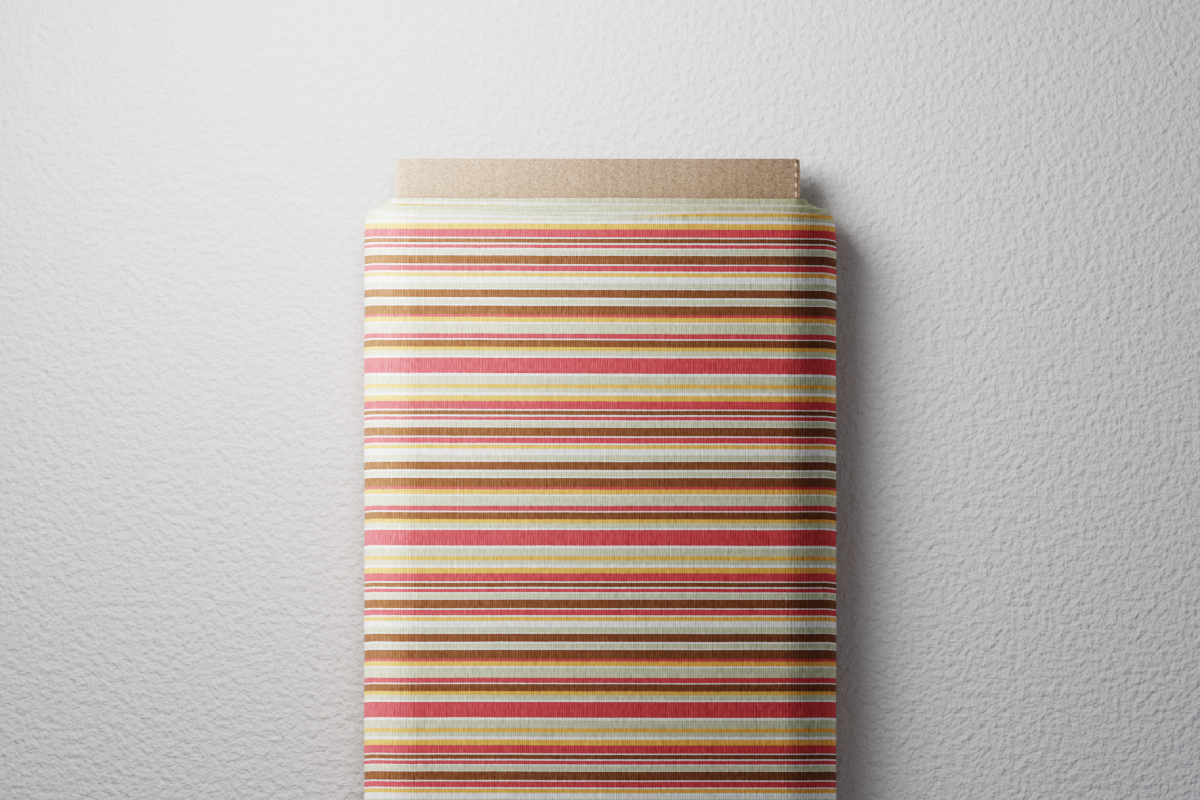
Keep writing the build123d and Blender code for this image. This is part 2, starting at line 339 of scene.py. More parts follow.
def stripe(y, x, station, shift, turn, bordered):
    """Stripe position in repeats for a point y mm along the bolt."""
    depth = HALF - y
    tilt = TILT * x * (0.15 + 0.85 * (1 - smooth((depth - 70.9906) / 125.425)))
    lower = 1 - 0.35 * smooth((depth - 60.9566) / 40.136)
    lower = lower - 0.25 * smooth((depth - 201.4326) / 70.238)
    right = np.interp(station, [0, 1, 6.58, 7.0, 9.0], [1, 0, 0, 1, 1])
    left = np.interp(station, [2.0, 3.0, 4.0, 4.40], [0, 1, 1, 0])
    bend = 0.677295 * left + 1.5051 * lower * right
    # the first stripes start down over the right-hand rounding before the others do
    early = 1.05357 * smooth((x - 89.3026) / 26.0884)
    early = early * fade(depth - 28.3461, 4.0136) * smooth((depth - 22.8274) / 3.0102)
    early = np.where(station < 6.85, early, 0.0) * (1 - right)
    phase = depth - shift - tilt - bend - relief(STRIPE_WOBBLE, x, y) - early
    if bordered:  # inner turns show their plain border right to the fold
        phase = np.where(turn < 22, np.maximum(phase, PLAIN_PHASE), phase)
    held = (x < -75) & (phase < PLAIN_PHASE) & (phase > FOLD_PHASE - 4.5153)
    return (np.where(held, PLAIN_PHASE, phase) - FIRST_STRIPE) / REPEAT


# ------------------------------------------------------------------ unevenness of the cloth
BODY_LAYERS = ((0.11, 31, 95, 60), (0.07, 32, 34, 120), (0.035, 33, 11, 46))
TOP_LAYERS = ((0.16, 34, 24, 50), (0.08, 35, 9, 50))
LOW_LAYERS = ((0.12, 36, 30, 50),)


def lift(x, y, z, top_y):
    """Outward unevenness of the outermost cloth: tension waves and puckers near its edge."""
    rise = 0.30 + relief(BODY_LAYERS, x, y)
    near = fade(top_y - y, 9.0)
    rise = rise + near * (0.12 + relief(TOP_LAYERS, x, 0))
    # two bunched places along the top edge, with slanting creases
    bunch = np.exp(-(((x - 38) / 11.0) ** 2)) + 0.6 * np.exp(-(((x - 20) / 6.0) ** 2))
    slant = 2 * math.pi * (x * 0.155 + y * 0.05) + 1.3 * np.sin(x * 0.21)
    crease = 0.5 + 0.5 * np.sin(slant)
    rise = rise + bunch * (near * 0.30 + fade(top_y - y, 4.5) * 0.75 * crease**2)
    rise = rise + fade(y - (top_y - WIDTH), 12.0) * (0.10 + relief(LOW_LAYERS, x, 0))
    return np.clip(rise, 0.05, None) * smooth((z - 3.0) / 6.0)  # flat where it lies low


PIN_DEG = -38.0  # angle of the pins on the lower right arc
PIN_RISE = 2.37
PIN_YS = (205.0, 2.0, -212.0)


def pinch(station, y):
    """Rise of the loose end over each pin."""
    angle = np.where(station >= 8, HEM_DEG * (station - 8), 90.0)
    across = np.radians(angle - PIN_DEG) * 27.6
    rise = np.zeros_like(y)
    for i, pin_y in enumerate(PIN_YS):
        along = smooth((3.9 - np.abs(y - pin_y)) / 1.5)
        rise = rise + along * PIN_RISE * np.exp(-((across / 1.55) ** 4) * 0.9)
        pull = np.exp(-(((y - pin_y) / 9.0) ** 2)) * np.exp(-((across / 5.5) ** 2))
        rise = rise + 0.22 * pull * (1 + 0.6 * np.sin((y - pin_y) * 0.9 + i))
    return rise


# ------------------------------------------------------------------ mesh helpers
def add_mesh(name, verts, faces, material, cloth=None):
    mesh = bpy.data.meshes.new(name)
    quads = [tuple(int(i) for i in face) for face in faces]
    mesh.from_pydata((np.asarray(verts) * MM).tolist(), [], quads)
    mesh.validate()
    mesh.update()
    if cloth is not None:
        attribute = mesh.attributes.new("cloth", "FLOAT_VECTOR", "POINT")
        attribute.data.foreach_set("vector", np.asarray(cloth, np.float32).ravel())
    mesh.polygons.foreach_set("use_smooth", [True] * len(mesh.polygons))
    ob = bpy.data.objects.new(name, mesh)
    bpy.context.scene.collection.objects.link(ob)
    mesh.materials.append(material)
    return ob


def grid_faces(rows, cols, flip=False):
    """Quads of a grid stored column by column."""
    col, row = np.meshgrid(np.arange(cols - 1), np.arange(rows - 1), indexing="ij")
    a = col * rows + row
    quads = np.stack([a, a + 1, a + rows + 1, a + rows], -1).reshape(-1, 4)
    return quads[:, ::-1] if flip else quads


def stations(counts):
    """Station values for the nine stretches, counts per stretch."""
    return np.concatenate([i + np.arange(count) / count for i, count in enumerate(counts)])


def weld(ob):
    mesh = bmesh.new()
    mesh.from_mesh(ob.data)
    bmesh.ops.remove_doubles(mesh, verts=mesh.verts, dist=0.02 * MM)
    mesh.to_mesh(ob.data)
    mesh.free()
    ob.data.update()


# ------------------------------------------------------------------ materials
class Net:
    """Short hand for the shader nodes of one new material."""

    def __init__(self, name):
        self.material = bpy.data.materials.new(name)
        self.material.use_nodes = True
        self.tree = self.material.node_tree
        self.bsdf = self.tree.nodes["Principled BSDF"]

    def new(self, kind):
        return self.tree.nodes.new("ShaderNode" + kind)

    def put(self, socket, value):
        if isinstance(value, bpy.types.NodeSocket):
            self.tree.links.new(value, socket)
        else:
            socket.default_value = value

    def surface(self, values):
        for name, value in values.items():
            self.put(self.bsdf.inputs[name], value)

    def math(self, operation, a, b=0.0, c=0.0, clamp=False):
        made = self.new("Math")
        made.operation = operation
        made.use_clamp = clamp
        for socket, value in zip(made.inputs, (a, b, c)):
            self.put(socket, value)
        return made.outputs[0]

    def add(self, a, b):
        return self.math("ADD", a, b)

    def sub(self, a, b, clamp=False):
        return self.math("SUBTRACT", a, b, clamp=clamp)

    def mul(self, a, b, clamp=False):
        return self.math("MULTIPLY", a, b, clamp=clamp)

    def div(self, a, b, clamp=False):
        return self.math("DIVIDE", a, b, clamp=clamp)

    def scaled(self, value, gain, base=1.0):
        """value * gain + base"""
        return self.math("MULTIPLY_ADD", value, gain, base)

    def around(self, value, gain, base=1.0, clamp=False):
        """Spreads a value that is centred on 0.5 around base."""
        return self.math("MULTIPLY_ADD", self.sub(value, 0.5), gain, base, clamp)

    def ripple(self, value, period):
        """Sine wave between 0 and 1."""
        wave = self.math("SINE", self.mul(value, 2 * math.pi / period))
        return self.scaled(wave, gain=0.5, base=0.5)

    def between(self, value, low, high, soft):
        """1 between low and high, 0 outside, with soft borders."""
        rise = self.math("SMOOTH_MIN", 1.0, self.div(self.sub(value, low), soft))
        fall = self.math("SMOOTH_MIN", 1.0, self.div(self.sub(high, value), soft))
        return self.mul(self.math("MAXIMUM", rise), self.math("MAXIMUM", fall))

    def vec(self, x, y, z):
        made = self.new("CombineXYZ")
        for socket, value in zip(made.inputs, (x, y, z)):
            self.put(socket, value)
        return made.outputs[0]

    def split(self, vector):
        made = self.new("SeparateXYZ")
        self.put(made.inputs[0], vector)
        return made.outputs

    def position(self):
        return self.new("TexCoord").outputs["Object"]

    def position_mm(self):
        return [self.mul(part, 1000.0) for part in self.split(self.position())]

    def noise(self, vector, scale=1.0, detail=2.0, rough=0.5):
        made = self.new("TexNoise")
        self.put(made.inputs["Vector"], vector)
        made.inputs["Scale"].default_value = scale
        made.inputs["Detail"].default_value = detail
        made.inputs["Roughness"].default_value = rough
        return made.outputs[0]

    def streaks(self, x, y, z, per_mm, detail, rough):
        """Noise with its own frequency per mm in x and in y."""
        vector = self.vec(self.mul(x, per_mm[0]), self.mul(y, per_mm[1]), z)
        return self.noise(vector, detail=detail, rough=rough)

    def mix(self, factor, a, b, kind="MIX"):
        made = self.new("Mix")
        made.data_type = "RGBA"
        made.blend_type = kind
        for index, value in ((0, factor), (6, a), (7, b)):
            self.put(made.inputs[index], value)
        return made.outputs[2]

    def shade(self, colour, tone):
        """The colour multiplied by a grey tone."""
        grey = self.new("CombineColor")
        for socket in grey.inputs:
            self.put(socket, tone)
        return self.mix(1.0, colour, grey.outputs[0], "MULTIPLY")

    def steps(self, factor, stops):
        """Hard-edged colour ramp."""
        made = self.new("ValToRGB")
        made.color_ramp.interpolation = "CONSTANT"
        elements = made.color_ramp.elements
        while len(elements) > 1:
            elements.remove(elements[-1])
        elements[0].position, elements[0].color = stops[0]
        for position, colour in stops[1:]:
            elements.new(position).color = colour
        self.put(made.inputs[0], factor)
        return made.outputs[0]

    def bump(self, height, strength, distance):
        made = self.new("Bump")
        made.inputs["Strength"].default_value = strength
        made.inputs["Distance"].default_value = distance
        self.put(made.inputs["Height"], height)
        self.put(self.bsdf.inputs["Normal"], made.outputs[0])


WHITE = (0.80, 0.79, 0.765, 1)
PINK = (0.580, 0.102, 0.112, 1)
BROWN = (0.238, 0.103, 0.048, 1)
SAGE = (0.555, 0.555, 0.405, 1)
YELLOW = (0.755, 0.420, 0.128, 1)
# where each stripe starts within the repeat, in mm
STRIPES = [
    (0, PINK), (3.9133, WHITE), (4.7662, BROWN), (6.7228, WHITE), (7.6760, PINK),
    (9.3818, WHITE), (10.1343, SAGE), (12.6930, WHITE), (13.2951, BROWN), (17.2585, WHITE),
    (18.1615, PINK), (20.9711, WHITE), (21.8240, YELLOW), (23.8308, WHITE), (26.9915, SAGE),
    (29.7508, WHITE), (30.4030, BROWN), (34.1156, WHITE), (35.2695, SAGE), (37.7780, WHITE),
    (38.4302, BROWN), (42.8452, PINK), (43.9991, YELLOW), (46.6079, WHITE), (47.3605, SAGE),
    (52.3775, PINK), (54.8860, WHITE), (55.6385, BROWN), (58.9999, YELLOW), (60.9064, SAGE),
    (63.4149, WHITE), (64.5688, PINK), (72.1946, WHITE), (73.7499, SAGE), (77.6130, YELLOW),
    (79.7703, SAGE), (81.7771, WHITE), (83.2822, YELLOW),
]
FIRST_RAMP = 19  # stripes in the first colour ramp; one ramp cannot hold them all


def spread(stripes):
    """Dark yarn crowds its pale neighbour a little at each boundary."""

    def light(colour):
        return 0.3 * colour[0] + 0.59 * colour[1] + 0.11 * colour[2]

    out = [stripes[0]]
    for (_, before), (start, after) in zip(stripes, stripes[1:]):
        out.append((start + 0.10034 * math.log(light(after) / light(before)), after))
    return out


def stripe_colour(net, repeats):
    """Colour at a position counted in stripe repeats."""
    share = net.math("FRACT", repeats)
    stops = [(start / REPEAT, colour) for start, colour in spread(STRIPES)]
    cut = stops[FIRST_RAMP][0]
    first = [(start / cut, colour) for start, colour in stops[:FIRST_RAMP]]
    rest = [((start - cut) / (1 - cut), colour) for start, colour in stops[FIRST_RAMP:]]
    low = net.steps(net.div(share, cut), first)
    high = net.steps(net.div(net.sub(share, cut), 1 - cut), rest)
    return net.mix(net.math("GREATER_THAN", share, cut), low, high)


def cotton():
    net = Net("striped_cotton")
    attribute = net.new("Attribute")
    attribute.attribute_name = "cloth"
    arc, repeats, layer = net.split(attribute.outputs["Vector"])
    along = net.mul(repeats, REPEAT)  # across the stripes, in mm like arc
    # weft: uneven ribs running across the stripes, about 1 mm apart
    drift = net.streaks(arc, along, layer, per_mm=(0.11, 0.012), detail=2.0, rough=0.6)
    jog = net.streaks(arc, along, layer, per_mm=(0.8, 0.05), detail=1.0, rough=0.5)
    bent = net.add(arc, net.add(net.mul(drift, 3.2), net.mul(jog, 0.55)))
    rib = net.ripple(bent, period=1.12)
    pick = net.streaks(bent, along, layer, per_mm=(1.15, 0.27), detail=1.5, rough=0.5)
    pick = net.around(pick, gain=2.3, base=0.5, clamp=True)
    rib = net.add(net.mul(rib, 0.46), net.mul(pick, 0.54))
    slub = net.streaks(arc, along, layer, per_mm=(0.62, 0.030), detail=3.0, rough=0.65)
    # warp: single coloured threads along the bolt's winding direction
    warp = net.ripple(along, period=0.43)
    thread = net.streaks(arc, along, layer, per_mm=(0.010, 2.3), detail=1.0, rough=0.5)
    fuzz = net.streaks(arc, along, layer, per_mm=(2.6, 2.6), detail=3.0, rough=0.7)
    # stripe edges step from rib to rib
    step = net.mul(net.sub(jog, 0.5), 0.22)
    colour = stripe_colour(net, net.add(repeats, net.div(step, REPEAT)))
    # undyed weft shows between the coloured threads
    peek = net.mul(rib, net.scaled(slub, gain=0.09, base=-0.01), clamp=True)
    colour = net.mix(peek, colour, (0.80, 0.78, 0.74, 1))
    tone = net.around(thread, gain=0.30)
    tone = net.mul(tone, net.around(slub, gain=0.36))
    tone = net.mul(tone, net.scaled(rib, gain=0.62, base=0.69))
    tone = net.mul(tone, net.around(fuzz, gain=0.16))
    net.surface({
        "Base Color": net.shade(colour, tone),
        "Roughness": net.scaled(fuzz, gain=0.16, base=0.76),
        "Specular IOR Level": 0.12,
        "Sheen Weight": 0.05,
        "Sheen Roughness": 0.45,
        "Sheen Tint": (1.0, 0.97, 0.93, 1),
    })
    height = net.add(net.mul(rib, 0.62), net.mul(warp, 0.26))
    height = net.add(height, net.mul(slub, 0.9))
    height = net.add(height, net.mul(fuzz, 0.35))
    net.bump(height, strength=0.8, distance=0.00018)
    return net.material


PERF_PITCH = 5.03  # pitch of the cuts along the broken crease
PERF_START = 285.2  # y at which one of the cuts begins


def perforation(net, x, y, z, tone, height):
    """Cuts at the board's right-hand front crease, with painted shade in the cuts and along the
    crease and painted light on the crease's outer wall.
    """
    along = net.div(net.add(y, PERF_PITCH * 200 - PERF_START), PERF_PITCH)
    along = net.math("FRACT", along)
    slit = net.mul(
        net.between(x, low=98.78, high=99.25, soft=0.14),
        net.between(along, low=0.0, high=0.60, soft=0.06),
    )
    slit = net.mul(slit, net.math("GREATER_THAN", z, 30.5))
    crease = net.between(x, low=98.3, high=100.0, soft=0.7)
    # painted shade: the cuts and the strip along the crease are darkened
    tone = net.mul(tone, net.scaled(slit, gain=-0.62))
    tone = net.mul(tone, net.scaled(crease, gain=-0.12))
    # painted light: the broken crease's outer wall is made paler over its height
    painted_light_wall = net.mul(
        net.between(x, low=99.2, high=104.0, soft=0.25),
        net.between(z, low=17.0, high=40.0, soft=1.0),
    )
    tone = net.mul(tone, net.scaled(painted_light_wall, gain=0.75))
    return tone, net.add(height, net.mul(slit, -5.0))


def kraft(name, tint, core=False):
    """Kraft paper. On the core it also shows the fluting beneath and the perforated crease."""

    def paper(r, g, b):
        return (r * tint, g * tint, b * tint, 1)

    net = Net(name)
    x, y, z = net.position_mm()
    point = net.vec(x, y, z)
    cloud = net.noise(point, scale=0.035, detail=3.0, rough=0.55)
    mottle = net.noise(point, scale=0.55, detail=4.0, rough=0.65)
    grain = net.noise(point, scale=1.25, detail=3.0, rough=0.75)
    pale_fibre = net.streaks(x, y, z, per_mm=(0.35, 2.2), detail=2.0, rough=0.6)
    diagonal = net.vec(net.add(x, y), net.mul(net.sub(x, y), 0.18), z)
    dark_fibre = net.noise(diagonal, scale=1.5, detail=2.0, rough=0.6)
    blotch = net.around(mottle, gain=1.9, base=0.5, clamp=True)
    colour = net.mix(blotch, paper(0.335, 0.222, 0.152), paper(0.545, 0.408, 0.312))
    colour = net.mix(0.55, colour, paper(0.430, 0.308, 0.226))
    speck = net.math("GREATER_THAN", dark_fibre, 0.69)
    colour = net.mix(net.mul(speck, 0.35), colour, paper(0.25, 0.155, 0.10))
    light = net.math("GREATER_THAN", pale_fibre, 0.66)
    colour = net.mix(net.mul(light, 0.30), colour, paper(0.66, 0.51, 0.39))
    tone = net.around(cloud, gain=0.16)
    tone = net.mul(tone, net.around(grain, gain=2.3))
    height = net.add(net.mul(mottle, 0.9), net.mul(grain, 0.7))
    height = net.add(height, net.mul(pale_fibre, 0.5))
    if core:
        flute = net.math("COSINE", net.mul(x, 2 * math.pi / 6.1))
        height = net.add(height, net.mul(flute, 0.25))
        tone = net.mul(tone, net.scaled(flute, gain=0.008))
        tone, height = perforation(net, x, y, z, tone, height)
    net.surface({
        "Base Color": net.shade(colour, tone),
        "Roughness": net.scaled(grain, gain=0.14, base=0.80),
        "Specular IOR Level": 0.25,
    })
    net.bump(height, strength=0.8, distance=0.00016)
    return net.material


def label_print(net, x, z, colour):
    """A printed border with a rule across its middle, no lettering."""
    box = net.mul(
        net.between(x, low=-61.0, high=61.0, soft=0.1),
        net.between(z, low=24.7, high=31.6, soft=0.1),
    )
    inner = net.mul(
        net.between(x, low=-60.3, high=60.3, soft=0.1),
        net.between(z, low=25.3, high=31.0, soft=0.1),
    )
    border = net.sub(box, inner, clamp=True)
    rule = net.mul(inner, net.between(z, low=27.95, high=28.2, soft=0.05))
    return net.mix(net.math("MAXIMUM", border, rule), colour, (0.12, 0.16, 0.22, 1))


def plain(name, colour, roughness, mottling, scale=0.8, metallic=0.0, coat=0.0, printed=False):
    """One colour with faint mottling."""
    net = Net(name)
    x, y, z = net.position_mm()
    mottle = net.noise(net.vec(x, y, z), scale=scale, detail=4.0, rough=0.6)
    tone = net.around(mottle, gain=mottling)
    if printed:
        colour = label_print(net, x, z, colour)
    net.surface({
        "Base Color": net.shade(colour, tone),
        "Roughness": net.around(mottle, gain=0.12, base=roughness),
        "Metallic": metallic,
        "Coat Weight": coat,
    })
    net.bump(mottle, strength=0.4, distance=0.02 * MM)
    return net.material


COTTON = cotton()
KRAFT_OUT = kraft("kraft_liner_outside", tint=1.0, core=True)
KRAFT_FLAP = kraft("kraft_liner_flap", tint=0.97)
KRAFT_IN = kraft("kraft_liner_inside", tint=0.88)
KRAFT_MEDIUM = kraft("kraft_medium", tint=0.78)
FIBRE = kraft("torn_fibre", tint=1.95)
STEEL = plain(
    "pin_steel", (0.62, 0.61, 0.60, 1), roughness=0.24, mottling=0.10, scale=4.0, metallic=1.0
)
PEARL = plain(
    "pin_head_pearl", (0.82, 0.80, 0.75, 1), roughness=0.18, mottling=0.06, coat=0.6
)
LABEL = plain(
    "label_paper", (0.78, 0.77, 0.73, 1), roughness=0.7, mottling=0.06, scale=1.2, printed=True
)
TAPE = plain("gummed_tape", (0.62, 0.50, 0.33, 1), roughness=0.45, mottling=0.16)
GLUE = plain("glue", (0.72, 0.68, 0.56, 1), roughness=0.5, mottling=0.16)

NODE_MATERIALS = {
    "core_outer_liner": KRAFT_OUT,
    "core_fluted_medium": KRAFT_MEDIUM,
    "core_inner_liner": KRAFT_IN,
    "web_glue": GLUE,
    "start_tapes": TAPE,
    "end_label": LABEL,
}
for end_name in ("top", "bottom"):
    for part in ("flap", "lip"):
        NODE_MATERIALS[f"{end_name}_{part}_outer_liner"] = KRAFT_FLAP
        NODE_MATERIALS[f"{end_name}_{part}_medium"] = KRAFT_MEDIUM
        NODE_MATERIALS[f"{end_name}_{part}_inner_liner"] = KRAFT_IN
for which in ("top", "middle", "bottom"):
    NODE_MATERIALS[f"pin_{which}_shaft"] = STEEL
    NODE_MATERIALS[f"pin_{which}_head"] = PEARL
for name, material in NODE_MATERIALS.items():
    ob = frame["nodes"][name]
    if not ob.material_slots:
        ob.data.materials.append(material)
    for slot in ob.material_slots:
        slot.material = material

# ------------------------------------------------------------------ points of the cloth
# Row positions over the cloth's width: 0 at the folded edge, 1 at the selvedges.
_end_rows = np.array([0.0006, 0.0016, 0.0032, 0.0056, 0.0085, 0.012])
ROWS = np.concatenate([_end_rows, np.linspace(0.016, 0.984, 224), 1 - _end_rows[::-1]])


def cloth_points(columns, y, depth, edge=False, bordered=False):
    """Vertices and cloth attribute at rows y, depth mm under the cloth's outer face.

    The attribute holds the length wound so far, the stripe position and a value per turn.
    """
    turn, station, growth, flat_x, flat_z, nx, nz, arc, shift, top_y = (
        values[:, None]
        for values in (
            columns.turn, columns.station, columns.growth, columns.x, columns.z,
            columns.nx, columns.nz, columns.arc, columns.shift, columns.top_y,
        )
    )
    x, z = section(growth * squeeze(y, station), station)
    pattern_x = flat_x if edge else x
    ease = smooth(station / 0.8)
    rise = lift(pattern_x, y, flat_z, top_y)
    rise = np.where(station > ROOT, rise + pinch(station, y), REST + (rise - REST) * ease)
    # turns beneath the outermost one stay flat
    rise = np.where(turn < LAST, REST * (1 - ease) if edge else REST, rise)
    out = rise - depth
    lowest = REST + depth * 0.5 if edge else REST
    verts = (x + nx * out, y, np.maximum(z + nz * out, lowest))
    position = stripe(y, pattern_x, station, shift, turn, bordered)
    return tuple(
        np.stack(np.broadcast_arrays(*parts), -1).reshape(-1, 3)
        for parts in (verts, (arc, position, turn * 1.7))
    )


def face_points(columns, depth):
    """The cloth's face over its whole width."""
    top_y, low_y = columns.top_y[:, None], columns.low_y[:, None]
    return cloth_points(columns, top_y + (low_y - top_y) * ROWS, depth)


def edge_points(columns, profile, at_top):
    """An edge; profile points are (mm inside the edge, depth)."""
    inside, depth = np.array(profile)[:, None, :].T[:, 0], None
    inside, depth = np.array(profile).T[:, None, :]
    if at_top:
        y = columns.top_y[:, None] - inside
    else:
        y = columns.low_y[:, None] + inside
    return cloth_points(columns, y, depth, edge=True, bordered=at_top)


# half round over the folded edge, from the outer face to the inner one
FOLD = [
    (SHEET / 2 * (1 - math.sin(angle)), SHEET / 2 * (1 - math.cos(angle)))
    for angle in np.radians(range(0, 181, 30))
]


def selvedge(near, recess, reach, nose, chamfer):
    """Profile of one ply's selvedge; near is the depth of the ply's outer face."""
    far = near + PLY
    return [
        (14.0, near), (reach + recess, near), (nose + recess, near + chamfer),
        (recess, near + PLY * 0.5),
        (nose + recess, far - chamfer), (reach + recess, far), (14.0, far),
    ]


def cloth_object(name, parts):
    """Joins (vertices, cloth attribute, faces) pieces into one object."""
    starts = np.cumsum([0] + [len(verts) for verts, _, _ in parts])
    verts, cloth, faces = zip(*parts)
    faces = [quads + start for quads, start in zip(faces, starts)]
    return add_mesh(
        name, np.concatenate(verts), np.concatenate(faces), COTTON, np.concatenate(cloth)
    )


# ------------------------------------------------------------------ outermost turn and loose end
def hem_parts(turn, station):
    """The cut end: two plies with a dark gap between."""
    parts = []
    count = len(ROWS)
    end = Columns(turn[-1:], station[-1:])
    for depths in ((0.0, PLY), (SHEET - PLY, SHEET)):
        sides = [face_points(end, depth) for depth in depths]
        verts, cloth = (np.concatenate(pair) for pair in zip(*sides))
        parts.append((verts, cloth, grid_faces(count, 2, flip=True)))
    strip = Columns(np.repeat(turn[-1], 2), np.array([station[-1] - 0.05, station[-1]]))
    for depth, flip in ((PLY, False), (SHEET - PLY, True)):
        parts.append((*face_points(strip, depth), grid_faces(count, 2, flip=flip)))
    return parts


def cloth_sheet(name, turn, station, loose):
    """Outer cloth. A loose sheet also gets its inner face and its hem."""
    columns = Columns(turn, station)
    count = len(station)
    parts = [(*face_points(columns, 0.0), grid_faces(len(ROWS), count, flip=True))]
    # folded edge at the top, which runs into the inner face
    first = (ROWS[0] * (columns.top_y - columns.low_y)).mean()
    profile = [(max(first, SHEET / 2), 0.0)] + FOLD[1:]
    profile += [(2.5, SHEET + 0.01), (14.0, SHEET + 0.02)]
    parts.append((*edge_points(columns, profile, True), grid_faces(len(profile), count)))
    # two selvedges at the bottom
    for near, recess, skip in ((0.0, 0.0, 1), (SHEET - PLY, 0.45, 0)):
        profile = selvedge(near, recess, reach=0.34, nose=0.08, chamfer=0.03)[skip:]
        faces = grid_faces(len(profile), count, flip=True)
        parts.append((*edge_points(columns, profile, False), faces))
    if loose:
        parts.append((*face_points(columns, SHEET), grid_faces(len(ROWS), count)))
        parts += hem_parts(turn, station)
    ob = cloth_object(name, parts)
    weld(ob)
    return ob


# the outer turn starts beneath the loose end and runs once round to its root
full = stations([9, 46, 18, 3, 18, 104, 18, 3, 18])
lead = full[full >= 6.45]
round_once = np.append(full[full < ROOT - 0.01], ROOT)
outer_turn = cloth_sheet(
    "cloth_outer_turn",
    np.repeat([LAST - 1.0, float(LAST)], [len(lead), len(round_once)]),
    np.concatenate([lead, round_once]),
    loose=False,
)
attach(outer_turn, "core_and_winding")
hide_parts("fabric_winding")

# closer stations where the pins pinch the cloth
tail_stations = np.concatenate([
    ROOT + np.linspace(0, 7.0 - ROOT, 20)[:-1],
    np.linspace(7.0, 8.0, 3)[:-1],
    8 + np.linspace(0, 0.58, 14)[:-1],
    8 + np.linspace(0.58, 0.88, 17)[:-1],
    8 + np.linspace(0.88, 0.9999, 4),
])
tail = cloth_sheet(
    "cloth_loose_end", np.full(len(tail_stations), float(LAST)), tail_stations, loose=True
)
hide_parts("fabric_tail")
tail_joint = next(joint for joint in frame["joints"] if joint["name"] == "tail_lift")
hinge = Vector(tail_joint["pos_m"])
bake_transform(tail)


# ------------------------------------------------------------------ the ends of the inner turns
def top_parts(columns, count):
    """Folded edges with a little of both faces."""
    profile = [(16.0, 0.0), (6.0, 0.0), (1.2, 0.0)] + FOLD + [(1.2, SHEET), (16.0, SHEET)]
    return [(*edge_points(columns, profile, True), grid_faces(len(profile), count))]


def bottom_parts(columns, count):
    """Two selvedges per turn, the inner one wandering a little."""
    parts = []
    for near, recess in ((0.0, 0.0), (SHEET - PLY, 0.35)):
        profile = selvedge(near, recess, reach=0.22, nose=0.03, chamfer=0.06)
        profile.insert(1, (1.0 + recess, near))
        verts, cloth = edge_points(columns, profile, False)
        if near:
            wander = 0.35 * waves(51, columns.arc, columns.turn, 90, 5)
            verts[:, 1] += np.repeat(wander, len(profile))
        parts.append((verts, cloth, grid_faces(len(profile), count, flip=True)))
    return parts


coarse = stations([5, 16, 9, 2, 9, 30, 9, 2, 8])
inner_turns = Columns(
    np.append(np.repeat(np.arange(LAST), len(coarse)), LAST - 1).astype(float),
    np.append(np.tile(coarse, LAST), 8.9999),
)
for end_name, make_parts in (("top", top_parts), ("bottom", bottom_parts)):
    parts = make_parts(inner_turns, len(inner_turns.station))
    ob = cloth_object(f"cloth_inner_turns_{end_name}", parts)
    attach(ob, "core_and_winding")
    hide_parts("fabric_winding")

# ------------------------------------------------------------------ board folds
PAPER = 0.03  # thickness of the paper round a fold
PROUD = 0.04  # how far it stands off the board
ROUND_X, ROUND_R = -99.6, 3.4  # start and radius of the board's left-hand rounding


def fold_paper(name, outline, x_from, x_to, material, seed):
    """A strip of liner that wraps a fold. outline is (y, z, ny, nz) along its outer face."""
    if x_from < ROUND_X:  # reaches round the left-hand rounding
        x = np.concatenate([
            np.linspace(x_from, ROUND_X, 12)[:-1], np.linspace(ROUND_X, x_to, 90)
        ])
    else:
        x = np.linspace(x_from, x_to, 96)
    drop = ROUND_R - np.sqrt(ROUND_R**2 - np.clip(ROUND_X - x, 0, 3.35) ** 2)
    rows = []
    for i, (y, z, ny, nz) in enumerate(outline):
        crush = 0.03 * (1 + np.clip(waves(seed, x, i * 3.0, 17, 12), -1, 1))
        crush = crush * math.sin(math.pi * (i + 0.5) / len(outline))
        rows.append(np.stack([x, y + ny * crush, z + nz * crush - drop], -1))
    for y, z, ny, nz in outline[::-1]:
        rows.append(np.stack([x, np.full(len(x), y - ny * PAPER), z - nz * PAPER - drop], -1))
    verts = np.stack(rows, 1).reshape(-1, 3)
    ob = add_mesh(name, verts, grid_faces(len(rows), len(x)), material)
    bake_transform(ob)


def flap_outline():
    """From the board's front face over its end edge, for the +y end."""
    radius = 1.5
    outline = [(HALF - 3.5, 34.985, 0, 1), (HALF - 3.2, 35.012, 0, 1), (HALF - 2.4, 35.03, 0, 1)]
    for degrees in range(90, -1, -15):
        c, s = math.cos(math.radians(degrees)), math.sin(math.radians(degrees))
        y = HALF + PROUD - radius + radius * c
        outline.append((y, FRONT_Z + PROUD - radius + radius * s, c, s))
    return outline + [(HALF + PROUD, 32.6, 1, 0), (HALF - 0.02, 32.3, 1, 0)]


def lip_outline():
    """Down the end flap and round the tuck lip's crease, for the +y end."""
    lip_deg, radius = 20.0, 0.18
    c, s = math.cos(math.radians(lip_deg)), math.sin(math.radians(lip_deg))
    outline = [(HALF + PROUD, z, 1, 0) for z in (22.7, 22.3, 21.9, 21.5, 21.1, 20.85)]
    for t in (0.0, 0.33, 0.67, 1.0):
        angle = math.radians(-(90 + lip_deg) * t)
        ny, nz = math.cos(angle), math.sin(angle)
        outline.append((HALF + PROUD - radius + radius * ny, 20.68 + radius * nz, ny, nz))
    for along in (0.45, 0.8, 1.2, 1.7, 2.3, 3.0, 3.8):
        y = HALF - c * along - s * PROUD
        outline.append((y, 20.6 + s * along - c * PROUD, -s, -c))
    return outline


